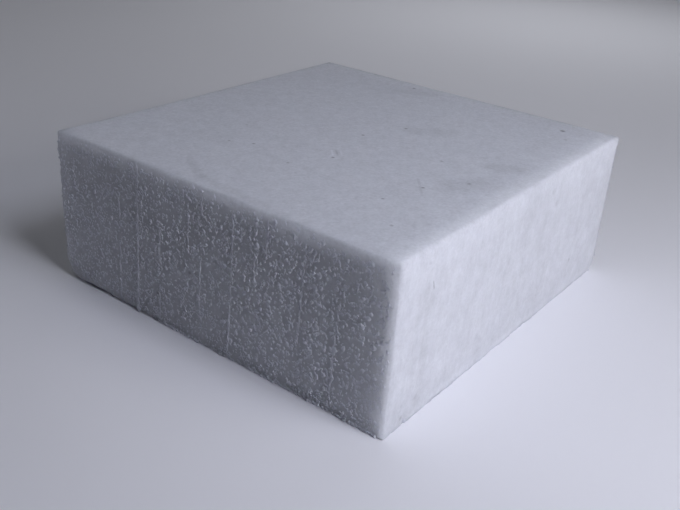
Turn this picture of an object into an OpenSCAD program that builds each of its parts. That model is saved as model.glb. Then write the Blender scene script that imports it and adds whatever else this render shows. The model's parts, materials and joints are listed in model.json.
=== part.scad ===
// Acoustic foam panel: one block of fine open-cell foam, cut from a sheet with a long saw blade.
// The origin is the centre of the underside. +Z is up, +X runs along the longer side.
// All sizes are in millimetres.

/* [Panel] */
// Length of the block, along X
panel_length = 131; // [90:1:400]
// Width of the block, along Y
panel_width = 125; // [90:1:400]
// Thickness of the block, along Z: the thickness of the sheet
panel_thickness = 50; // [30:1:120]

/* [Edges] */
// Radius of the soft edge round the top face
top_edge_radius = 0.6; // [0.4:0.1:3]
// Radius of the more rubbed edge round the underside
bottom_edge_radius = 0.7; // [0.4:0.1:4]
// Radius of the four upright corners
corner_radius = 0.6; // [0.4:0.1:3]

/* [Saw strokes] */
// Average width of the shallow hollow that one stroke leaves in a side
stroke_pitch = 10; // [6:0.5:20]
// Depth of a hollow at its middle
stroke_depth = 0.2; // [0.1:0.05:0.6]
// Width of the fine ridge left standing between two strokes
ridge_width = 0.5; // [0.3:0.1:2]
// Lean of the strokes from upright, in degrees
stroke_lean = 2.8; // [0:0.1:6]

/* [Worn corners] */
// Height that the underside has lifted at the left back corner
lift_height = 1.2; // [0.4:0.1:3]
// Distance from that corner at which the lift starts, along the diagonal
lift_reach = 45; // [20:1:60]
// Height at which the rubbing of that corner's upright edge starts
rub_height = 12; // [5:1:25]
// Depth that it takes off the corner at the foot, along the diagonal
rub_depth = 2.8; // [1:0.1:5]
// Height at which the rubbing of the right front corner starts
foot_height = 6; // [3:0.5:12]
// Depth that it takes off that corner at the foot, along the diagonal
foot_depth = 2.2; // [1:0.1:4]

/* [Press mark in the top face] */
// Distance of the mark's middle from the left side
mark_from_left = 11; // [8:1:40]
// Distance of the mark's middle from the back
mark_from_back = 49; // [12:1:78]
// Diameter of the shallow bowl that a fingertip pressed in
mark_diameter = 10; // [5:0.5:16]
// Depth of the bowl
mark_depth = 0.3; // [0.2:0.1:1.5]
// Half the width of the nail's line along the bowl's rim
nail_radius = 0.25; // [0.2:0.05:0.8]
// Length of the nail's line, as an angle round the bowl
nail_angle = 110; // [40:5:160]
// Direction of the nail's line from the mark's middle, as an angle from +X
nail_direction = 155; // [0:5:360]

/* [Tears in the front side] */
// Distance of the tear at the foot from the left side
tear_from_left = 9; // [5:0.5:40]
// Height of that tear above the underside
tear_height = 6; // [3:0.5:15]
// Depth of that tear at the underside
tear_depth = 0.7; // [0.4:0.1:2]
// Distance of the small slit from the left side
slit_from_left = 17; // [12:0.5:60]
// Distance of the slit's middle below the top face
slit_from_top = 11; // [5:0.5:25]
// Length of the slit
slit_length = 2.2; // [1:0.1:6]
// Width of the slit
slit_width = 0.8; // [0.4:0.1:2]
// Depth of the slit
slit_depth = 1.2; // [0.4:0.1:3]

/* [Open pores in the top face] */
// Number of pores large enough to see
pore_count = 18; // [0:1:40]
// Radius of the largest pore
pore_radius = 0.5; // [0.2:0.05:1]
// Distance that the pores keep from the edges
pore_margin = 8; // [5:1:20]

/* [Hidden] */
$fn = 96;
long_fn = 200;        // large, nearly flat curves
clear = 1;            // how far a cutting shape runs past the surface that it cuts
hollow_flatness = 16; // a narrow hollow is at least this many times as wide as it is deep

half_length = panel_length / 2;
half_width = panel_width / 2;

// Widths of successive strokes, in average strokes, each side read from its left end
left_rhythm = [2.5, 0.9, 0.9, 1.2, 0.5, 1.2, 0.8, 0.4, 1.7, 1.3, 1.1];
front_rhythm = [1.4, 0.5, 1.3, 1.8, 1.4, 2.1, 2.2, 2.4];
right_rhythm = [1.2, 2.0, 0.7, 1.5, 1.1, 1.9, 0.9, 1.4];
back_rhythm = [1.8, 0.8, 1.3, 2.2, 0.6, 1.5, 1.0, 1.7];

// Steps that spread points evenly over a face, with no two in one row
spread = 1.3247;
spread_x = 1 / spread;
spread_y = 1 / (spread * spread);
pore_sizes = [1, 0.7, 0.85, 0.6];  // as shares of the largest, in turn

// Sum of the first n strokes of a rhythm that starts again when it ends
function stroke_end(rhythm, n) =
    n <= 0 ? 0 : stroke_end(rhythm, n - 1) + stroke_pitch * rhythm[(n - 1) % len(rhythm)];

// Where each stroke of a side starts, for as long as the side lasts
function stroke_starts(rhythm, side, n = 0) =
    let (at = stroke_end(rhythm, n))
    at + ridge_width >= side ? [] : concat([at], stroke_starts(rhythm, side, n + 1));

// Radius of the circle whose arc is `chord` wide and `rise` high
function arc_radius(chord, rise) = (chord * chord / 4 + rise * rise) / (2 * rise);

// Side view of the block: a rectangle with round corners above and below
module edge_profile(length) {
    top_in = length - 2 * top_edge_radius;
    bottom_in = length - 2 * bottom_edge_radius;
    translate([-length / 2, bottom_edge_radius])
        square([length, panel_thickness - top_edge_radius - bottom_edge_radius]);
    translate([-top_in / 2, panel_thickness / 2])
        square([top_in, panel_thickness / 2]);
    translate([-bottom_in / 2, 0])
        square([bottom_in, panel_thickness / 2]);
    for (side = [-1, 1]) {
        translate([side * top_in / 2, panel_thickness - top_edge_radius])
            circle(r = top_edge_radius);
        translate([side * bottom_in / 2, bottom_edge_radius])
            circle(r = bottom_edge_radius);
    }
}

// View from above: a rectangle with round corners
module plan_profile() {
    length_in = panel_length - 2 * corner_radius;
    width_in = panel_width - 2 * corner_radius;
    square([panel_length, width_in], center = true);
    square([length_in, panel_width], center = true);
    for (x = [-1, 1], y = [-1, 1])
        translate([x * length_in / 2, y * width_in / 2])
            circle(r = corner_radius);
}

// The block as cut from the sheet, with every edge softened
module sheet_block() {
    intersection() {
        linear_extrude(panel_thickness)
            plan_profile();
        rotate([90, 0, 0])
            linear_extrude(panel_width, center = true)
                edge_profile(panel_length);
        rotate([90, 0, 90])
            linear_extrude(panel_length, center = true)
                edge_profile(panel_width);
    }
}

// The long round tool that hollows one stroke in a side that lies along X and faces -Y
module stroke_hollow(start, stroke_width) {
    chord = stroke_width - ridge_width;
    rise = min(stroke_depth, chord / hollow_flatness);
    radius = arc_radius(chord, rise);
    translate([start + stroke_width / 2, rise - radius, panel_thickness / 2])
        rotate([0, stroke_lean, 0])
            cylinder(r = radius, h = 2 * panel_thickness, center = true, $fn = long_fn);
}

// All strokes of one side, which starts at X = 0 and is `side` long
module side_strokes(side, rhythm) {
    starts = stroke_starts(rhythm, side);
    for (i = [0:len(starts) - 1]) {
        end = i + 1 < len(starts) ? starts[i + 1] : side + ridge_width / 2;
        if (end - starts[i] > 2 * ridge_width)
            stroke_hollow(starts[i], end - starts[i]);
    }
}

// The strokes of all four sides
module saw_strokes() {
    translate([-half_length, -half_width, 0])
        side_strokes(panel_length, front_rhythm);
    translate([half_length, -half_width, 0])
        rotate(90)
            side_strokes(panel_width, right_rhythm);
    translate([half_length, half_width, 0])
        rotate(180)
            side_strokes(panel_length, back_rhythm);
    translate([-half_length, half_width, 0])
        rotate(-90)
            side_strokes(panel_width, left_rhythm);
}

// What comes off below a corner whose underside has lifted. As in corner_rub, the corner stands at
// X = 0, Y = 0 and the block lies towards +X and +Y.
module corner_lift(reach, height) {
    size = 3 * (reach + height);
    rotate(45)
        translate([reach, 0, 0])
            rotate([0, atan2(height, reach), 0])
                translate([-size, -size / 2, -size])
                    cube(size);
}

// What comes off a corner whose upright edge is rubbed round towards its foot
module corner_rub(depth, height) {
    radius = (height * height + depth * depth) / (2 * depth);
    rotate(45)
        difference() {
            translate([-clear, -height, -clear])
                cube([depth + 2 * clear, 2 * height, height + clear]);
            translate([radius, 0, height])
                rotate([90, 0, 0])
                    cylinder(r = radius, h = 3 * height, center = true, $fn = long_fn);
        }
}

// The wear of the two corners that show it: left back, and right front
module worn_corners() {
    translate([-half_length, half_width, 0])
        rotate(-90) {
            corner_lift(lift_reach, lift_height);
            corner_rub(rub_depth, rub_height);
        }
    translate([half_length, -half_width, 0])
        rotate(90)
            corner_rub(foot_depth, foot_height);
}

// A fingertip's shallow bowl with the fine line of the nail along its rim
module press_mark() {
    bowl_radius = arc_radius(mark_diameter, mark_depth);
    translate([mark_from_left - half_length, half_width - mark_from_back, panel_thickness]) {
        translate([0, 0, bowl_radius - mark_depth])
            sphere(r = bowl_radius, $fn = long_fn);
        rotate(nail_direction - nail_angle / 2)
            rotate_extrude(angle = nail_angle)
                translate([mark_diameter / 2, 0])
                    circle(r = nail_radius);
    }
}

// The tear at the foot: a round tool that leans deeper into the front side on its way down
module foot_tear() {
    translate([tear_from_left - half_length, tear_depth - half_width, 0])
        rotate([atan2(tear_depth, tear_height), 0, 0])
            translate([0, -tear_depth, -clear])
                cylinder(r = tear_depth, h = 3 * tear_height);
}

// The small upright slit in the front side
module slit() {
    middle = slit_length - slit_width;
    translate([slit_from_left - half_length, slit_depth - half_width, panel_thickness - slit_from_top])
        rotate([90, 0, 0])
            linear_extrude(slit_depth + clear) {
                square([slit_width, middle], center = true);
                for (end = [-1, 1])
                    translate([0, end * middle / 2])
                        circle(d = slit_width);
            }
}

// The larger pores of the top face, each one a pit that narrows to a point
module open_pores() {
    reach_x = panel_length - 2 * pore_margin;
    reach_y = panel_width - 2 * pore_margin;
    for (i = [1:1:pore_count]) {
        radius = pore_radius * pore_sizes[i % len(pore_sizes)];
        translate([
            (i * spread_x % 1 - 0.5) * reach_x,
            (i * spread_y % 1 - 0.5) * reach_y,
            panel_thickness
        ])
            cylinder(r1 = 0, r2 = 2 * radius, h = 2 * radius, center = true);
    }
}

module foam_panel() {
    color("#c9cad2")
        difference() {
            sheet_block();
            saw_strokes();
            worn_corners();
            press_mark();
            foot_tear();
            slit();
            open_pores();
        }
}

foam_panel();
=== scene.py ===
import json
import math

import bpy
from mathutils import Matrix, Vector

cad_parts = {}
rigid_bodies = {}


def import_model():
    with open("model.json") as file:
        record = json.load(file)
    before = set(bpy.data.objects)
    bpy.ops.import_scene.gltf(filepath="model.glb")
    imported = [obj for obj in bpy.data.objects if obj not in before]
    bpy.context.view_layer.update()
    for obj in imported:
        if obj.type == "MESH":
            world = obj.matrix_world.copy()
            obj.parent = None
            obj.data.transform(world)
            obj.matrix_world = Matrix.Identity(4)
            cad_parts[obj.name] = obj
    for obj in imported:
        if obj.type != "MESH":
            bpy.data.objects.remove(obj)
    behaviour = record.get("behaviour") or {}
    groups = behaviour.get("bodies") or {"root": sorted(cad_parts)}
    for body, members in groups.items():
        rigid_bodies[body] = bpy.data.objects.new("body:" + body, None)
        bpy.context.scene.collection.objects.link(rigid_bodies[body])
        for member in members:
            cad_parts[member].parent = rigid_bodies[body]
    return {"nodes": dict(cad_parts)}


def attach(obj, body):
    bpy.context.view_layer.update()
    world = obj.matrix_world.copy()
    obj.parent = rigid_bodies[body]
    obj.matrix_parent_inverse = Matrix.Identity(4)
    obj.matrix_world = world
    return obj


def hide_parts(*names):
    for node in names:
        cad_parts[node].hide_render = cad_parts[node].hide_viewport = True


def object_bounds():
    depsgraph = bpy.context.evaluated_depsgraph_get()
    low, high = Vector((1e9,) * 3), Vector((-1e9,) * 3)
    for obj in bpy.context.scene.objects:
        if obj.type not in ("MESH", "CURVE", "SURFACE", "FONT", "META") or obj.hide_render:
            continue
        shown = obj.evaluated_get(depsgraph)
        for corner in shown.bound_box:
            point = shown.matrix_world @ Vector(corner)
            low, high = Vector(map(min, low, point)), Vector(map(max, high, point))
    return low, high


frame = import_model()
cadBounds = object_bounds()
mm = 0.001
halfLength = cadBounds[1][0]
halfWidth = cadBounds[1][1]
thickness = cadBounds[1][2]


def deselectAll():
    if bpy.context.object and bpy.context.object.mode != "OBJECT":
        bpy.ops.object.mode_set(mode="OBJECT")
    bpy.ops.object.select_all(action="DESELECT")


def makeActive(piece):
    deselectAll()
    piece.select_set(True)
    bpy.context.view_layer.objects.active = piece


def applyModifiers(piece):
    makeActive(piece)
    for modifier in list(piece.modifiers):
        bpy.ops.object.modifier_apply(modifier=modifier.name)


def triangles(piece):
    return sum(len(face.vertices) - 2 for face in piece.data.polygons)


def linearColour(hexCode):  # sRGB hex to the linear values that the sockets take
    parts = [int(hexCode[i:i + 2], 16) / 255 for i in (1, 3, 5)]
    return tuple(c / 12.92 if c <= 0.04045 else ((c + 0.055) / 1.055) ** 2.4 for c in parts) + (1,)


# inputs: a value or an output socket for each input, in order or by name
# gives the output that is named, or else the first that is in use
def addNode(tree, kind, inputs=(), output=None, **settings):
    node = tree.nodes.new(kind)
    for name, value in settings.items():
        setattr(node, name, value)
    for socket, value in inputs.items() if isinstance(inputs, dict) else enumerate(inputs):
        if isinstance(value, bpy.types.NodeSocket):
            tree.links.new(value, node.inputs[socket])
        else:
            node.inputs[socket].default_value = value
    return node.outputs[output] if output else next((o for o in node.outputs if o.enabled), None)


def newMeshTree(name):  # geometry nodes that take one mesh and give one mesh
    tree = bpy.data.node_groups.new(name, "GeometryNodeTree")
    tree.interface.new_socket("Geometry", in_out="INPUT", socket_type="NodeSocketGeometry")
    tree.interface.new_socket("Geometry", in_out="OUTPUT", socket_type="NodeSocketGeometry")
    return tree, addNode(tree, "NodeGroupInput")


blockValues = {
    "voxel": 0.4,               # mm, grid that the surface is rebuilt on
    "triangles": 190000,
    "lean": 2.8,                # degrees that the saw strokes lean from upright
    "softenSteps": 14,          # rounds the upper and upright edges
    "softenHeight": (3, 9),     # mm above the table over which the rounding sets in
    "softenDepth": (8, 16),     # mm behind the front over which it falls off
    "softenLoss": 0.6,          # and how much of it is lost there
    # patterns: mm across the strokes, mm along them, detail, seed, mm that they stand out
    "sway": (24, 48, 2, 3, 0.35),           # slow unevenness of the sawn sides
    "streak": (1.5, 22, 2, 11, 0.16),       # fine marks of the blade's teeth
    "grain": (0.8, 1.12, 1, 23, 0.14),      # the open cells
    "tuft": (1.25, 1.875, 0, 31, 0.34),     # torn cells that stand up
    "peel": (1.6, 1.6, 2, 41, 0.05),        # faint orange peel of the skin on top
    "notch": (2.4, 4.8, 3, 57, 0.4),        # crumbled notches along the lower edge, cut in
    "notchHeight": (0.6, 2),                # mm above the table over which the notches end
    "frontFoot": (2.6, 5, 2, 83, 0.3),      # fills out the front's lower edge
    "frontFootHeight": 0.7,
    "frontFootDepth": (1.5, 3),             # mm behind the front over which that ends
    "spread": (5, 5, 2, 71, 1.15),          # pushes the far left corner outward
    "spreadReach": 30,                      # mm from that corner
    "spreadHeight": (-1.5, 3),              # mm above the table over which the push sets in
}


def sawnSurface(values):  # roughens the sawn sides and leaves the underside flat
    tree, source = newMeshTree("sawnSurface")
    inMm = addNode(tree, "ShaderNodeVectorMath", {
        0: addNode(tree, "GeometryNodeInputPosition"), "Scale": 1 / mm}, operation="SCALE")
    x, y, z = addNode(tree, "ShaderNodeSeparateXYZ", {0: inMm}).node.outputs
    normal = addNode(tree, "GeometryNodeInputNormal")
    normalX, normalY, normalZ = addNode(tree, "ShaderNodeSeparateXYZ", {0: normal}).node.outputs

    # the strokes lean to the right on each side, so the patterns are slid along the side with height
    lean = math.tan(math.radians(values["lean"]))
    slide = addNode(tree, "ShaderNodeMath", (z, -lean), operation="MULTIPLY")
    frontward = addNode(tree, "ShaderNodeMath", (normalY, -1), operation="MULTIPLY")
    alongX = addNode(tree, "ShaderNodeMath", (frontward, slide, x), operation="MULTIPLY_ADD")
    alongY = addNode(tree, "ShaderNodeMath", (normalX, slide, y), operation="MULTIPLY_ADD")
    onStroke = addNode(tree, "ShaderNodeCombineXYZ", (alongX, alongY, z))

    def patternSpot(name):
        across, along, detail, seed, height = values[name]
        spot = addNode(tree, "ShaderNodeVectorMath", (
            onStroke, (across, across, along)), operation="DIVIDE")
        return addNode(tree, "ShaderNodeVectorMath", (spot, (seed, seed * 2.3, seed * 1.7)))

    def noise(name):
        return addNode(tree, "ShaderNodeTexNoise", {
            "Vector": patternSpot(name), "Scale": 1, "Detail": values[name][2]})

    def swell(name, base):  # noise added to a height, as much up as down
        middled = addNode(tree, "ShaderNodeMath", (noise(name), 0.5), operation="SUBTRACT")
        return addNode(tree, "ShaderNodeMath", (
            middled, values[name][4] * 2, base), operation="MULTIPLY_ADD")

    # the sawn sides
    rough = 0.0
    for name in ("sway", "streak", "grain"):
        rough = swell(name, rough)
    cells = addNode(tree, "ShaderNodeTexVoronoi", {"Vector": patternSpot("tuft"), "Scale": 1}, "Distance")
    tall = addNode(tree, "ShaderNodeSeparateXYZ", {0: cells.node.outputs["Color"]})
    tall = addNode(tree, "ShaderNodeMath", (tall, tall), operation="MULTIPLY")
    tuft = addNode(tree, "ShaderNodeMapRange", (cells, 0.42, 0.05), interpolation_type="SMOOTHSTEP")
    tuft = addNode(tree, "ShaderNodeMath", (tuft, tall), operation="MULTIPLY")
    rough = addNode(tree, "ShaderNodeMath", (tuft, values["tuft"][4], rough), operation="MULTIPLY_ADD")
    notch = addNode(tree, "ShaderNodeMapRange", (noise("notch"), 0.42, 0.7, 0, values["notch"][4]))
    low = addNode(tree, "ShaderNodeMapRange", (
        z, *values["notchHeight"], 1, 0), interpolation_type="SMOOTHSTEP")
    notch = addNode(tree, "ShaderNodeMath", (notch, low), operation="MULTIPLY")
    rough = addNode(tree, "ShaderNodeMath", (rough, notch), operation="SUBTRACT")
    steep = addNode(tree, "ShaderNodeMath", {0: normalZ}, operation="ABSOLUTE")
    onSide = addNode(tree, "ShaderNodeMapRange", (steep, 0.75, 0.4), interpolation_type="SMOOTHSTEP")
    rough = addNode(tree, "ShaderNodeMath", (rough, onSide), operation="MULTIPLY")
    onTop = addNode(tree, "ShaderNodeMapRange", (normalZ, 0.5, 0.9), interpolation_type="SMOOTHSTEP")
    rough = addNode(tree, "ShaderNodeMath", (swell("peel", 0.0), onTop, rough), operation="MULTIPLY_ADD")
    rough = addNode(tree, "ShaderNodeMath", (rough, mm), operation="MULTIPLY")
    above = addNode(tree, "ShaderNodeMapRange", (z, 2, 4))
    upward = addNode(tree, "ShaderNodeMath", (normalZ, above), operation="MULTIPLY")  # level underneath
    outward = addNode(tree, "ShaderNodeCombineXYZ", (normalX, normalY, upward))
    offset = addNode(tree, "ShaderNodeVectorMath", {0: outward, "Scale": rough}, operation="SCALE")
    moved = addNode(tree, "GeometryNodeSetPosition", {"Geometry": source, "Offset": offset})

    # the front's lower edge is cut square
    front = -halfWidth / mm
    level = addNode(tree, "ShaderNodeCombineXYZ", (normalX, normalY))
    lying = addNode(tree, "ShaderNodeVectorMath", {0: level}, operation="LENGTH")
    lying = addNode(tree, "ShaderNodeMapRange", (lying, 0.08, 0.3))
    near, deep = values["frontFootDepth"]
    fore = addNode(tree, "ShaderNodeMapRange", (y, deep + front, near + front))
    lying = addNode(tree, "ShaderNodeMath", (lying, fore), operation="MULTIPLY")
    foot = addNode(tree, "ShaderNodeMapRange", (
        z, 0, values["frontFootHeight"], values["frontFoot"][4] * mm, 0))
    ragged = addNode(tree, "ShaderNodeMapRange", (noise("frontFoot"), 0.3, 0.7, 0.2, 2))
    foot = addNode(tree, "ShaderNodeMath", (foot, ragged), operation="MULTIPLY")
    foot = addNode(tree, "ShaderNodeMath", (foot, lying), operation="MULTIPLY")
    level = addNode(tree, "ShaderNodeVectorMath", {0: level}, operation="NORMALIZE")
    offset = addNode(tree, "ShaderNodeVectorMath", {0: level, "Scale": foot}, operation="SCALE")
    moved = addNode(tree, "GeometryNodeSetPosition", {"Geometry": moved, "Offset": offset})

    # the far left corner is spread outward, and least at its foot
    corner = (-halfLength / mm, halfWidth / mm, 0)
    outward = (-0.707, 0.707, 0)
    away = addNode(tree, "ShaderNodeCombineXYZ", (x, y))
    away = addNode(tree, "ShaderNodeVectorMath", (away, corner), operation="DISTANCE")
    near = addNode(tree, "ShaderNodeMapRange", (away, 0, values["spreadReach"], 1, 0))
    near = addNode(tree, "ShaderNodeMath", (near, near), operation="MULTIPLY")
    raised = addNode(tree, "ShaderNodeMapRange", (z, *values["spreadHeight"]))
    near = addNode(tree, "ShaderNodeMath", (near, raised), operation="MULTIPLY")
    ragged = addNode(tree, "ShaderNodeMapRange", (noise("spread"), 0.3, 0.7, 0.75, 1.25))
    push = addNode(tree, "ShaderNodeMath", (ragged, values["spread"][4] * mm), operation="MULTIPLY")
    push = addNode(tree, "ShaderNodeMath", (near, push), operation="MULTIPLY")
    offset = addNode(tree, "ShaderNodeVectorMath", {0: outward, "Scale": push}, operation="SCALE")
    moved = addNode(tree, "GeometryNodeSetPosition", {"Geometry": moved, "Offset": offset})
    addNode(tree, "NodeGroupOutput", {0: moved})
    return tree


def ramp(value, low, high):
    return min(1, max(0, value - low) / (high - low))


def makeBlock():
    block = bpy.data.objects.new("foamBlock", frame["nodes"]["foam_panel"].data.copy())
    bpy.context.scene.collection.objects.link(block)
    block.data.materials.clear()
    makeActive(block)
    bpy.ops.object.mode_set(mode="EDIT")
    bpy.ops.mesh.select_all(action="SELECT")
    bpy.ops.mesh.remove_doubles(threshold=0.005 * mm)
    bpy.ops.mesh.normals_make_consistent(inside=False)
    bpy.ops.object.mode_set(mode="OBJECT")
    remesh = block.modifiers.new("cells", "REMESH")
    remesh.mode = "VOXEL"
    remesh.voxel_size = blockValues["voxel"] * mm
    applyModifiers(block)

    upper = block.vertex_groups.new(name="upper")
    for point in block.data.vertices:
        height = ramp(point.co.z / mm, *blockValues["softenHeight"])
        behind = ramp(point.co.y / mm + halfWidth / mm, *blockValues["softenDepth"])
        upper.add([point.index], height * (1 - blockValues["softenLoss"] * behind), "REPLACE")
    soften = block.modifiers.new("soften", "SMOOTH")
    soften.factor = 0.5
    soften.iterations = blockValues["softenSteps"]
    soften.vertex_group = "upper"
    applyModifiers(block)
    block.vertex_groups.clear()

    rough = block.modifiers.new("sawn", "NODES")
    rough.node_group = sawnSurface(blockValues)
    applyModifiers(block)
    print("block surface", len(block.data.vertices), "points", triangles(block), "triangles")
    thin = block.modifiers.new("thin", "DECIMATE")
    thin.ratio = blockValues["triangles"] / triangles(block)
    applyModifiers(block)
    makeActive(block)
    bpy.ops.object.shade_smooth()
    print("block", triangles(block), "triangles")
    return block


chipValues = {
    "crumb": (0.28, 0.36, 0.42),    # mm, half sizes: across, along the stroke, out of the side
    "fleck": (0.27, 0.42, 0.4),     # a plain pyramid
    "sliver": (0.17, 0.75, 0.5),
    "curlThick": 0.13,              # mm, half of it
    "curlLong": 0.95,
    "curlRise": 0.45,
    "curlSlim": 0.6,                # share of the thickness lost at the ends
    "curlSkew": 0.15,               # mm that the ends turn aside
}
chipOrder = ("crumb", "curl", "fleck", "sliver")


def makeCurl():  # a thin strip of foam that is bowed out of the side
    deselectAll()
    longEdge = 0.5 * chipValues["curlLong"] * mm
    bpy.ops.mesh.primitive_cylinder_add(
        vertices=4, radius=chipValues["curlThick"] * mm, depth=2 * longEdge, rotation=(math.pi / 2, 0, 0))
    curl = bpy.context.object
    curl.name = "curl"
    bpy.ops.object.transform_apply(rotation=True)
    bpy.ops.object.mode_set(mode="EDIT")
    bpy.ops.mesh.select_mode(type="EDGE")
    bpy.ops.mesh.select_all(action="DESELECT")
    bpy.ops.object.mode_set(mode="OBJECT")
    for edge in curl.data.edges:
        ends = [curl.data.vertices[v].co.y for v in edge.vertices]
        edge.select = abs(ends[0] - ends[1]) > longEdge
    bpy.ops.object.mode_set(mode="EDIT")
    bpy.ops.mesh.subdivide(number_cuts=2)
    bpy.ops.object.mode_set(mode="OBJECT")
    for point in curl.data.vertices:
        share = point.co.y / longEdge
        slim = 1 - chipValues["curlSlim"] * share ** 2
        point.co.x = point.co.x * slim + chipValues["curlSkew"] * mm * share
        point.co.z = point.co.z * slim + chipValues["curlRise"] * mm * (1 - share ** 2)


def makeChips():  # small chips of torn foam, each lying along Y, with Z out of the side
    chips = bpy.data.collections.new("chips")
    bpy.context.scene.collection.children.link(chips)
    for name in ("crumb", "sliver"):
        deselectAll()
        bpy.ops.mesh.primitive_ico_sphere_add(subdivisions=1, radius=1)
        bpy.context.object.name = name
        bpy.ops.object.mode_set(mode="EDIT")
        bpy.ops.transform.vertex_random(offset=0.25, seed=len(name))
        bpy.ops.transform.resize(value=[half * mm for half in chipValues[name]], center_override=(0, 0, 0))
        bpy.ops.object.mode_set(mode="OBJECT")
    deselectAll()
    bpy.ops.mesh.primitive_cone_add(vertices=4, radius1=1, radius2=0, depth=2, end_fill_type="NGON")
    bpy.context.object.name = "fleck"
    bpy.ops.object.mode_set(mode="EDIT")
    bpy.ops.transform.translate(value=(0, 0, 0.6))
    bpy.ops.transform.resize(value=[half * mm for half in chipValues["fleck"]], center_override=(0, 0, 0))
    bpy.ops.object.mode_set(mode="OBJECT")
    makeCurl()
    for name in chipOrder:
        chip = bpy.data.objects[name]
        for face in chip.data.polygons:
            face.use_smooth = True
        for holder in list(chip.users_collection):
            holder.objects.unlink(chip)
        chips.objects.link(chip)
        print(name, triangles(chip), "triangles")
    return chips


fuzzValues = {
    # chip, its share in a side's values, smallest, largest, how far out, degrees off the stroke
    "layers": (("fleck", "flecks", 0.5, 1.3, 0.8, 14), ("crumb", "crumbs", 0.7, 1.7, 1, 30),
               ("curl", "curls", 0.7, 1.4, 1, 24)),
    "cluster": 4,               # mm, size of the denser and barer patches
    "clusterShare": (0.5, 1.5),
    "edgeKept": (1, 3.5),       # mm from the upper edge over which the chips set in
    "cornerGain": 1.3,          # they set in sooner by this at the near upright edge
    "nearGain": 0.12,           # share by which chips grow towards the front, and shrink away from it
    "turns": (0.7, 0.7, 1.6),   # how a chip's stray from the stroke is shared out over X, Y and Z
    "burrPitch": 0.3,           # mm between slivers in a line of torn cells
    "burrSpread": 0.25,         # mm that they stray from their line
    "burrStray": 3,             # degrees
    "burrSmallest": (0.8, 0.7),     # along the side, out of it
    "burrLargest": (1.4, 1.7),
    "footPitch": 0.5,           # mm between crumbs along the lower edge
    "footHeight": 0.45,
    "footMargin": 0.02,         # share of the edge's length without crumbs at each end
    "footStray": 20,            # degrees
    "footSizes": (0.8, 1.3),
    "castFrom": 5,              # mm outside the side from which a line of chips is cast on it
    "castReach": 12,
}

# start: left end of the side, seen from outside
# flecks, crumbs, curls: chips on each square mm; foot: share of the crumbs along the lower edge
# size and proud: scale of a chip, and of how far it stands out
# burrs: mm from the left end, mm below the top from which and down to which they run, and strength
sides = {
    "Left": {
        "outward": (-1, 0, 0), "along": (0, -1, 0), "start": (-halfLength, halfWidth),
        "flecks": 0.5, "crumbs": 0.5, "curls": 0.02, "size": 1.53, "proud": 0.26, "foot": 1,
        "burrs": ((25.9, 14, 22, 0.8), (25.9, 29, 48, 0.8), (34, 2, 20, 1), (34, 18, 49, 1.4),
                  (43.5, 18, 29, 0.7), (43.5, 37, 48, 0.7), (55, 10, 18, 0.6), (60, 3, 8, 0.8),
                  (60, 22, 40, 1.1), (71.8, 5, 24, 0.7), (71.8, 26, 49, 1.3), (80, 3, 7, 0.8),
                  (80, 14, 21, 0.8), (83.7, 3, 12, 1), (96, 12, 34, 0.5), (108, 20, 44, 0.5)),
    },
    "Right": {
        "outward": (1, 0, 0), "along": (0, 1, 0), "start": (halfLength, -halfWidth),
        "flecks": 0.5, "crumbs": 0.6, "curls": 0.06, "size": 1.1, "proud": 0.3, "foot": 1,
        "burrs": ((32, 1, 40, 0.8), (69, 12, 49, 0.7), (99, 4, 26, 0.6)),
    },
    "Back": {
        "outward": (0, 1, 0), "along": (-1, 0, 0), "start": (halfLength, halfWidth),
        "flecks": 0.3, "crumbs": 0.06, "curls": 0.02, "size": 0.8, "proud": 0.2, "foot": 0.5,
        "burrs": ((26, 5, 38, 0.4), (82, 1, 22, 0.4)),
    },
}


def chipDensity(tree, side):  # no chips off this side and at its upper and near edges, and more in patches
    position = addNode(tree, "GeometryNodeInputPosition")
    normal = addNode(tree, "GeometryNodeInputNormal")
    facing = addNode(tree, "ShaderNodeVectorMath", (normal, side["outward"]), operation="DOT_PRODUCT")
    turned = addNode(tree, "ShaderNodeMapRange", (facing, 0.3, 0.6))
    patches = addNode(tree, "ShaderNodeTexNoise", {
        "Vector": position, "Scale": 1 / (fuzzValues["cluster"] * mm), "Detail": 2})
    patches = addNode(tree, "ShaderNodeMapRange", (patches, 0.3, 0.65, *fuzzValues["clusterShare"]))
    x, y, z = addNode(tree, "ShaderNodeSeparateXYZ", {0: position}).node.outputs
    corner = addNode(tree, "ShaderNodeCombineXYZ", (x, y))
    corner = addNode(tree, "ShaderNodeVectorMath", (
        corner, (-halfLength, -halfWidth, 0)), operation="DISTANCE")
    corner = addNode(tree, "ShaderNodeMath", (corner, fuzzValues["cornerGain"]), operation="MULTIPLY")
    depth = addNode(tree, "ShaderNodeMath", (thickness, z), operation="SUBTRACT")
    inset = addNode(tree, "ShaderNodeMath", (corner, depth), operation="MINIMUM")
    inner = addNode(tree, "ShaderNodeMapRange", (inset, *[edge * mm for edge in fuzzValues["edgeKept"]]))
    density = addNode(tree, "ShaderNodeMath", (turned, patches), operation="MULTIPLY")
    return addNode(tree, "ShaderNodeMath", (density, inner), operation="MULTIPLY")


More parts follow.
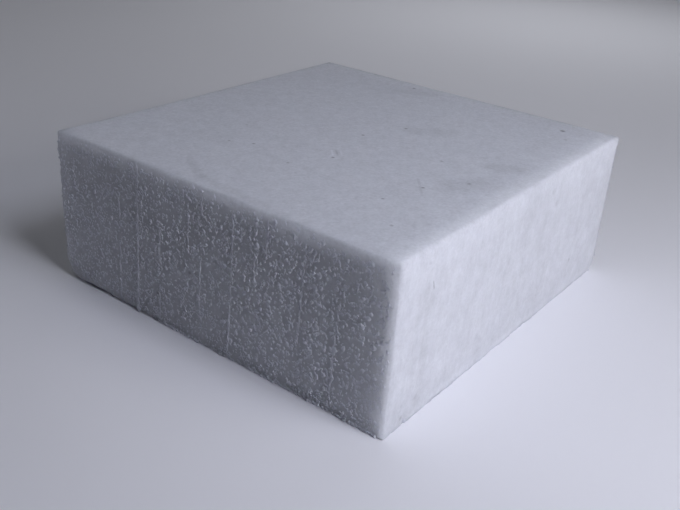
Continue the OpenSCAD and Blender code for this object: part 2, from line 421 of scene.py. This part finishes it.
def alongStroke(tree, side, degrees, seed):  # rotation that lays a chip along the stroke, give or take
    upright = addNode(tree, "FunctionNodeAlignRotationToVector", {"Vector": side["outward"]}, axis="Z")
    upright = addNode(tree, "FunctionNodeAlignRotationToVector", {
        "Rotation": upright, "Vector": (0, 0, 1)}, axis="Y", pivot_axis="Z")
    most = [share * math.radians(degrees) for share in fuzzValues["turns"]]
    stray = addNode(tree, "FunctionNodeRandomValue", {
        "Min": [-turn for turn in most], "Max": most, "Seed": seed}, data_type="FLOAT_VECTOR")
    stray = addNode(tree, "FunctionNodeEulerToRotation", {0: stray})
    return addNode(tree, "FunctionNodeRotateRotation", (upright, stray), rotation_space="LOCAL")


def layChips(tree, points, chips, kind, rotation, smallest, largest, seed):  # a chip on each point
    sizes = addNode(tree, "FunctionNodeRandomValue", {
        "Min": smallest, "Max": largest, "Seed": seed}, data_type="FLOAT_VECTOR")
    scale = addNode(tree, "FunctionNodeRandomValue", {"Seed": seed + 4}, data_type="FLOAT")
    scale = addNode(tree, "ShaderNodeMath", (scale, 2), operation="POWER")  # most are small, a few large
    scale = addNode(tree, "ShaderNodeMath", (scale, 0.6, 0.6), operation="MULTIPLY_ADD")
    place = addNode(tree, "ShaderNodeSeparateXYZ", {0: addNode(tree, "GeometryNodeInputPosition")}, "Y")
    gain = fuzzValues["nearGain"]
    near = addNode(tree, "ShaderNodeMapRange", (place, -halfWidth, halfWidth, 1 + gain, 1 - gain))
    scale = addNode(tree, "ShaderNodeMath", (scale, near), operation="MULTIPLY")
    sizes = addNode(tree, "ShaderNodeVectorMath", {0: sizes, "Scale": scale}, operation="SCALE")
    parts = addNode(tree, "GeometryNodeCollectionInfo", {
        "Collection": chips, "Separate Children": True, "Reset Children": True})
    number = addNode(tree, "FunctionNodeInputInt", integer=chipOrder.index(kind))
    placed = addNode(tree, "GeometryNodeInstanceOnPoints", {
        "Points": points, "Instance": parts, "Pick Instance": True,
        "Instance Index": number, "Rotation": rotation, "Scale": sizes})
    return addNode(tree, "GeometryNodeRealizeInstances", {0: placed})


def pointsOnLine(tree, surface, side, ends, count, seed, margin=0, stray=0):  # cast on it from outside
    outward = Vector(side["outward"])
    ends = [end + outward * fuzzValues["castFrom"] * mm for end in ends]
    share = addNode(tree, "FunctionNodeRandomValue", {
        "Min": margin, "Max": 1 - margin, "Seed": seed}, data_type="FLOAT")
    spot = addNode(tree, "ShaderNodeMix", {"Factor": share, "A": ends[0], "B": ends[1]}, data_type="VECTOR")
    most = [stray * mm * abs(part) for part in side["along"]]
    loosen = addNode(tree, "FunctionNodeRandomValue", {
        "Min": [-part for part in most], "Max": most, "Seed": seed + 1}, data_type="FLOAT_VECTOR")
    spot = addNode(tree, "ShaderNodeVectorMath", (spot, loosen))
    points = addNode(tree, "GeometryNodePoints", {"Count": count, "Position": spot})
    struck = addNode(tree, "GeometryNodeRaycast", {
        "Target Geometry": surface, "Ray Direction": -outward,
        "Ray Length": fuzzValues["castReach"] * mm}, "Hit Position")
    return addNode(tree, "GeometryNodeSetPosition", {"Geometry": points, "Position": struck})


def scatterChips(chips, side, seed):  # strews chips over one side, in lines down it and along its foot
    tree, surface = newMeshTree("scatterChips")
    along = Vector(side["along"])
    start = Vector((*side["start"], 0))
    rows = []

    def scale(onSide, out, strength=1):
        size = side["size"]
        return onSide * size, onSide * size, out * (size * side["proud"]) * strength

    density = chipDensity(tree, side)
    for layer, (kind, share, least, most, lift, stray) in enumerate(fuzzValues["layers"]):
        thick = addNode(tree, "ShaderNodeMath", (density, side[share] / mm ** 2), operation="MULTIPLY")
        spots = addNode(tree, "GeometryNodeDistributePointsOnFaces", {
            "Mesh": surface, "Density": thick, "Seed": seed + layer})
        turn = alongStroke(tree, side, stray, seed + 11 + layer)
        rows.append(layChips(tree, spots, chips, kind, turn, scale(least, least * lift),
                             scale(most, most * lift), seed + 21 + 10 * layer))

    lean = math.tan(math.radians(blockValues["lean"]))
    for number, (place, high, low, strength) in enumerate(side["burrs"]):
        first = seed + 20 * number
        ends = []
        for depth in (high, low):
            across = place + (0.5 * thickness / mm - depth) * lean
            ends.append(start + along * across * mm + Vector((0, 0, thickness - depth * mm)))
        count = int((low - high) / fuzzValues["burrPitch"] * (0.5 + 0.5 * strength))
        spots = pointsOnLine(tree, surface, side, ends, count, first, stray=fuzzValues["burrSpread"])
        turn = alongStroke(tree, side, fuzzValues["burrStray"], first + 2)
        least = scale(*fuzzValues["burrSmallest"], strength)
        most = scale(*fuzzValues["burrLargest"], strength)
        rows.append(layChips(tree, spots, chips, "sliver", turn, least, most, first + 3))

    length = 2 * (halfLength if along.x else halfWidth) / mm
    foot = start + Vector((0, 0, fuzzValues["footHeight"] * mm))
    ends = [foot, foot + along * length * mm]
    count = int(side["foot"] * length / fuzzValues["footPitch"])
    spots = pointsOnLine(tree, surface, side, ends, count, seed + 900, margin=fuzzValues["footMargin"])
    turn = alongStroke(tree, side, fuzzValues["footStray"], seed + 901)
    footScale = 0.5 + 0.5 * side["size"]
    least, most = [[size * footScale] * 3 for size in fuzzValues["footSizes"]]
    rows.append(layChips(tree, spots, chips, "crumb", turn, least, most, seed + 902))

    joined = addNode(tree, "GeometryNodeJoinGeometry")
    for row in rows:
        tree.links.new(row, joined.node.inputs[0])
    addNode(tree, "NodeGroupOutput", {0: joined})
    return tree


def makeFuzz(block):
    chips = makeChips()
    pieces = []
    for number, (name, side) in enumerate(sides.items()):
        fuzz = bpy.data.objects.new("sawFuzz" + name, block.data.copy())
        bpy.context.scene.collection.objects.link(fuzz)
        strew = fuzz.modifiers.new("strew", "NODES")
        strew.node_group = scatterChips(chips, side, 1000 * number + 5)
        applyModifiers(fuzz)
        fuzz.data.materials.clear()
        print(fuzz.name, triangles(fuzz), "triangles")
        pieces.append(fuzz)
    for chip in list(chips.objects):
        bpy.data.objects.remove(chip)
    bpy.data.collections.remove(chips)
    return pieces


foamValues = {
    "colour": "#cfd1d7",
    # the chips' colour, a touch paler than the block: painted light for chips that stand out and catch the
    # light
    "tornLitColour": "#d3d5de",
    "roughness": 0.95,
    "specular": 0.1,
    "scatter": 10.5,                # mm that light travels in the open cells
    "tornScatter": 0.25,
    "tornWeight": 0.7,              # share of the light that enters a chip
    # mm, size of the mottling; change of brightness on top, and on the sawn sides
    "fine": (0.8, 0.15, 0.1),
    "patch": (3, 0.09, 0.1),
    "cloud": (8, 0.03, 0.1),
    "streak": (1.2, 9, 0.065),      # mm wide, mm long, change of brightness on the sawn sides
}

blockFaces = {  # from two distances in mm on a face to a place in the block
    "top": lambda x, y: Vector((x, y, thickness / mm)),
    "front": lambda x, z: Vector((x, -halfWidth / mm, z)),
    "left": lambda y, z: Vector((-halfLength / mm, y, z)),
    "leftRim": lambda y, z: Vector((-halfLength / mm + 0.5, y, z)),     # just inside the left side
}

# spots: place on the face, radius in mm, how much darker; lines: from, to, radius, how much darker
marks = {
    "top": {
        "spots": (
            (-34.2, 22, 0.6, 0.32), (-30.8, 15.1, 0.7, 0.4), (-19.5, 28.6, 0.6, 0.24),
            (-22.3, -8.8, 0.7, 0.44), (0.8, -2.8, 0.8, 0.4), (16.8, -8.5, 0.8, 0.44),
            (59.5, 16.5, 0.9, 0.4), (55.6, -46.2, 1.2, 0.6), (-22.5, -40.5, 0.7, 0.44),
            (-37, -37.2, 0.6, 0.32), (-0.6, -33, 0.7, 0.28), (-10.4, -48.2, 0.8, 0.32),
            (-49.3, -48.6, 0.7, 0.28), (47.6, -51, 0.8, 0.24), (-35.3, -2.6, 0.7, 0.24),
            (-39.8, -9.3, 0.6, 0.2),
        ),
        "lines": (
            (-53.5, 18.8, -60.5, 7, 2.4, 0.085), (-61, 6, -63.5, -26, 2.4, 0.06),
            (-34.8, 10, -36.5, -38, 1.8, 0.025), (-27.5, -43.5, -18, -36, 0.6, 0.096),
            (-16, -46, -8, -50, 7, 0.096), (6, -46, 10, -52, 5, 0.08),
            (17, -12, 24, -20, 6, 0.064), (52, 18, 58, 8, 5, 0.064),
            (-20.8, -7.6, -17.5, -4.5, 0.5, -0.128), (-19.8, -8.6, -16.8, -5.6, 0.5, 0.128),
            (-18.8, -9.4, -16, -6.8, 0.5, -0.096),
        ),
    },
    "front": {
        "spots": (
            (-52.3, 45.8, 0.7, 0.12), (-57.4, 2.6, 1.1, 0.2), (-51.5, 6.2, 1.1, 0.08),
            (-58, 6.7, 0.6, 0.1), (40.6, 12.5, 0.9, 0.16), (-31.3, 39.2, 0.9, 0.05),
            (17, 43.8, 1.6, 0.11), (20.4, 39.1, 1.6, 0.11),
        ),
        "lines": (
            # the slit, then darker upright bands here and on the next line: painted shade of the sawn
            # side's broad undulations
            (-49.7, 39.7, -48.9, 37.6, 0.45, 0.3), (-50.2, 36, -50.8, 4, 3, 0.035),
            (-15, 49, -14.6, 40, 3.4, 0.035), (42.5, 46, 43.4, 22, 3, 0.025),
            # painted light: a lighter band by the near upright edge, and a lighter lower edge that offsets
            # the shade at the foot
            (-61.5, 50, -60.5, 10, 7, -0.07), (-50, 0, 65.5, 0, 4, -0.1),
            # the gouge's dark streak at the foot, then a broad darker and a broad lighter band: painted
            # shade and light of the side's slow undulations
            (-59.5, 5, -51, 4, 5, 0.06), (6, 46, 10, 10, 22, 0.04), (-40, 44, -38, 12, 10, -0.025),
        ),
    },
    "left": {
        "spots": ((20.6, 10, 0.9, 0.35), (6.7, 22, 0.8, 0.3), (-23.2, 18, 0.8, 0.3)),
        "lines": (
            # lighter lines along three lines of torn cells: a painted highlight of the fins there that
            # catch the light
            (27.6, 49, 30.4, 0, 0.9, -0.12), (3.5, 27, 4, 10, 0.8, -0.05), (-9.5, 24, -8.2, 0, 0.8, -0.07),
        ),
    },
    "leftRim": {
        "spots": (),
        "lines": ((62.2, 26, 62.2, 3, 1.8, -0.16),),    # pale foot of the far left upright edge, painted light bleeding through the corner onto its torn edges
    },
}


def markShade(tree, spot, shade):  # darkens or lightens the foam at each mark, real marks and painted light and shade alike
    for name, group in marks.items():
        onFace = blockFaces[name]
        for across, up, radius, dark in group["spots"]:
            away = addNode(tree, "ShaderNodeVectorMath", (spot, onFace(across, up)), operation="DISTANCE")
            inside = addNode(tree, "ShaderNodeMapRange", (away, radius, 0.3 * radius, 0, dark))
            shade = addNode(tree, "ShaderNodeMath", (shade, inside), operation="SUBTRACT")
        for fromAcross, fromUp, toAcross, toUp, radius, dark in group["lines"]:
            start = onFace(fromAcross, fromUp)
            course = onFace(toAcross, toUp) - start
            offset = addNode(tree, "ShaderNodeVectorMath", (spot, start), operation="SUBTRACT")
            step = course / course.length_squared
            share = addNode(tree, "ShaderNodeVectorMath", (offset, step), operation="DOT_PRODUCT")
            share = addNode(tree, "ShaderNodeMath", (share, 0), operation="ADD", use_clamp=True)
            nearest = addNode(tree, "ShaderNodeVectorMath", {0: course, "Scale": share}, operation="SCALE")
            away = addNode(tree, "ShaderNodeVectorMath", (offset, nearest), operation="DISTANCE")
            inside = addNode(tree, "ShaderNodeMapRange", (
                away, radius, 0.2 * radius, 0, dark), interpolation_type="SMOOTHSTEP")
            shade = addNode(tree, "ShaderNodeMath", (shade, inside), operation="SUBTRACT")
    return shade


def sawnMelamineFoam():  # fine open cells, sawn: matte, faintly mottled, and light bleeds through its edges
    material = bpy.data.materials.new("sawnMelamineFoam")
    material.use_nodes = True
    tree = material.node_tree
    shader = tree.nodes["Principled BSDF"]
    place = addNode(tree, "ShaderNodeTexCoord", output="Object")
    spot = addNode(tree, "ShaderNodeVectorMath", {0: place, "Scale": 1 / mm}, operation="SCALE")
    height = addNode(tree, "ShaderNodeSeparateXYZ", {0: spot}, "Z")
    upper = addNode(tree, "ShaderNodeMapRange", (height, thickness / mm - 4, thickness / mm - 1))
    shade = 1.0
    for layer in ("fine", "patch", "cloud"):
        size, onTop, onSides = foamValues[layer]
        noise = addNode(tree, "ShaderNodeTexNoise", {"Vector": spot, "Scale": 1 / size, "Detail": 2})
        middled = addNode(tree, "ShaderNodeMath", (noise, 0.5), operation="SUBTRACT")
        change = addNode(tree, "ShaderNodeMath", (
            upper, 2 * (onTop - onSides), 2 * onSides), operation="MULTIPLY_ADD")
        shade = addNode(tree, "ShaderNodeMath", (middled, change, shade), operation="MULTIPLY_ADD")
    wide, long, change = foamValues["streak"]
    lean = math.tan(math.radians(blockValues["lean"]))
    slide = addNode(tree, "ShaderNodeVectorMath", {0: (-lean, lean, 0), "Scale": height}, operation="SCALE")
    upright = addNode(tree, "ShaderNodeVectorMath", (spot, slide))
    upright = addNode(tree, "ShaderNodeVectorMath", (
        upright, (1 / wide, 1 / wide, 1 / long)), operation="MULTIPLY")
    noise = addNode(tree, "ShaderNodeTexNoise", {"Vector": upright, "Scale": 1, "Detail": 2})
    middled = addNode(tree, "ShaderNodeMath", (noise, 0.5), operation="SUBTRACT")
    change = addNode(tree, "ShaderNodeMath", (upper, -2 * change, 2 * change), operation="MULTIPLY_ADD")
    shade = addNode(tree, "ShaderNodeMath", (middled, change, shade), operation="MULTIPLY_ADD")
    shade = markShade(tree, spot, shade)
    colour = addNode(tree, "ShaderNodeVectorMath", {
        0: linearColour(foamValues["colour"])[:3], "Scale": shade}, operation="SCALE")
    tree.links.new(colour, shader.inputs["Base Color"])
    shader.inputs["Roughness"].default_value = foamValues["roughness"]
    shader.inputs["Specular IOR Level"].default_value = foamValues["specular"]
    shader.subsurface_method = "BURLEY"
    shader.inputs["Subsurface Weight"].default_value = 1
    shader.inputs["Subsurface Radius"].default_value = (1, 1, 1)
    shader.inputs["Subsurface Scale"].default_value = foamValues["scatter"] * mm
    return material


def tornMelamineFoam():  # the same foam in thin chips, in which light hardly wanders: crisp, and a touch paler than the block as painted light on the chips that catch the light
    material = bpy.data.materials.new("tornMelamineFoam")
    material.use_nodes = True
    shader = material.node_tree.nodes["Principled BSDF"]
    shader.inputs["Base Color"].default_value = linearColour(foamValues["tornLitColour"])
    shader.inputs["Roughness"].default_value = foamValues["roughness"]
    shader.inputs["Specular IOR Level"].default_value = foamValues["specular"]
    shader.inputs["Subsurface Weight"].default_value = foamValues["tornWeight"]
    shader.inputs["Subsurface Radius"].default_value = (1, 1, 1)
    shader.inputs["Subsurface Scale"].default_value = foamValues["tornScatter"] * mm
    return material


block = makeBlock()
fuzzPieces = makeFuzz(block)
block.data.materials.append(sawnMelamineFoam())
torn = tornMelamineFoam()
for fuzz in fuzzPieces:
    fuzz.data.materials.append(torn)
    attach(fuzz, "root")
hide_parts("foam_panel")
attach(block, "root")
print("foam dressed")


roomValues = {
    "floorSize": 8,             # m
    "floorColour": "#f2f2f6",
    "paleColour": "#f0f1fa",    # what the camera sees past the lamps' reach
    "pale": 0.38,
    "paleFrom": (0.75, 2.2),    # m from the part over which it sets in
}


def mattePaper():  # an even, dull floor, kept pale where the lamps do not reach
    material = bpy.data.materials.new("mattePaper")
    material.use_nodes = True
    tree = material.node_tree
    shader = tree.nodes["Principled BSDF"]
    shader.inputs["Base Color"].default_value = linearColour(roomValues["floorColour"])
    shader.inputs["Roughness"].default_value = 0.9
    place = addNode(tree, "ShaderNodeTexCoord", output="Object")
    away = addNode(tree, "ShaderNodeVectorMath", {0: place}, operation="LENGTH")
    far = addNode(tree, "ShaderNodeMapRange", (
        away, *roomValues["paleFrom"], 0, roomValues["pale"]), interpolation_type="SMOOTHSTEP")
    seen = addNode(tree, "ShaderNodeLightPath", output="Is Camera Ray")
    far = addNode(tree, "ShaderNodeMath", (far, seen), operation="MULTIPLY")
    tree.links.new(far, shader.inputs["Emission Strength"])
    shader.inputs["Emission Color"].default_value = linearColour(roomValues["paleColour"])
    return material


bpy.ops.mesh.primitive_plane_add(size=roomValues["floorSize"])
floor = bpy.context.object
floor.name = "floor"
floor.data.materials.append(mattePaper())

world = bpy.data.worlds.new("room")
bpy.context.scene.world = world
world.use_nodes = True
backdrop = world.node_tree.nodes["Background"]
backdrop.inputs["Color"].default_value = linearColour(roomValues["paleColour"])
seen = addNode(world.node_tree, "ShaderNodeLightPath", output="Is Camera Ray")
pale = addNode(world.node_tree, "ShaderNodeMath", (seen, roomValues["pale"]), operation="MULTIPLY")
world.node_tree.links.new(pale, backdrop.inputs["Strength"])

# place in m, width in m, watts, the place it points at, linear colour, degrees of spread
middle = (0, 0, 0.03)
lampValues = {
    "window": ((0.2, -0.9, 0.9), 0.8, 2.46, middle, (0.91, 0.915, 1), 180),
    "nearWindow": ((-0.096, -0.45, 0.22), 0.18, 0.272, middle, (0.94, 0.93, 1), 120),
    "side": ((0.02, -0.45, 0.2), 0.18, 0.147, middle, (1, 0.98, 1), 120),
    "high": ((-0.066, -0.2, 0.29), 0.12, 0.325, middle, (0.79, 0.835, 1), 180),
    "ceiling": ((0, 0, 1.5), 1.5, 0.55, middle, (0.89, 0.9, 1), 180),
    "behind": ((0.3, 1.2, 0.5), 0.6, 0.95, middle, (0.93, 0.95, 1), 180),
    "tableRight": ((0.5, 0.1, 0.25), 0.25, 0.22, (0.5, 0.1, 0), (0.93, 0.95, 1), 180),
    "tableBack": ((0.45, 0.3, 0.3), 0.3, 0.163, (0.4, 0.3, 0), (0.93, 0.95, 1), 180),
    "tableFar": ((0, 0.3, 0.4), 0.3, 0.065, (0, 0.3, 0), (0.93, 0.95, 1), 180),
}
for name, (place, width, watts, target, colour, spread) in lampValues.items():
    lamp = bpy.data.lights.new(name, "AREA")
    lamp.shape = "SQUARE"
    lamp.size = width
    lamp.energy = watts
    lamp.color = colour
    lamp.spread = math.radians(spread)
    holder = bpy.data.objects.new(name, lamp)
    bpy.context.scene.collection.objects.link(holder)
    holder.location = place
    holder.visible_camera = False
    holder.rotation_euler = (Vector(target) - Vector(place)).to_track_quat("-Z", "Y").to_euler()
print("room lit by", len(lampValues), "lamps")

cameraValues = {
    "lens": 45.2,                           # mm
    "sensor": 36,
    "place": (-0.2119, -0.15178, 0.13768),  # m
    "turn": (63.204, -3.583, -52.157),      # degrees
}
lens = bpy.data.cameras.new("camera")
lens.lens = cameraValues["lens"]
lens.sensor_width = cameraValues["sensor"]
camera = bpy.data.objects.new("camera", lens)
bpy.context.scene.collection.objects.link(camera)
camera.location = cameraValues["place"]
camera.rotation_euler = [math.radians(angle) for angle in cameraValues["turn"]]
bpy.context.scene.camera = camera
bpy.context.scene.view_settings.view_transform = "Standard"
print("camera set")
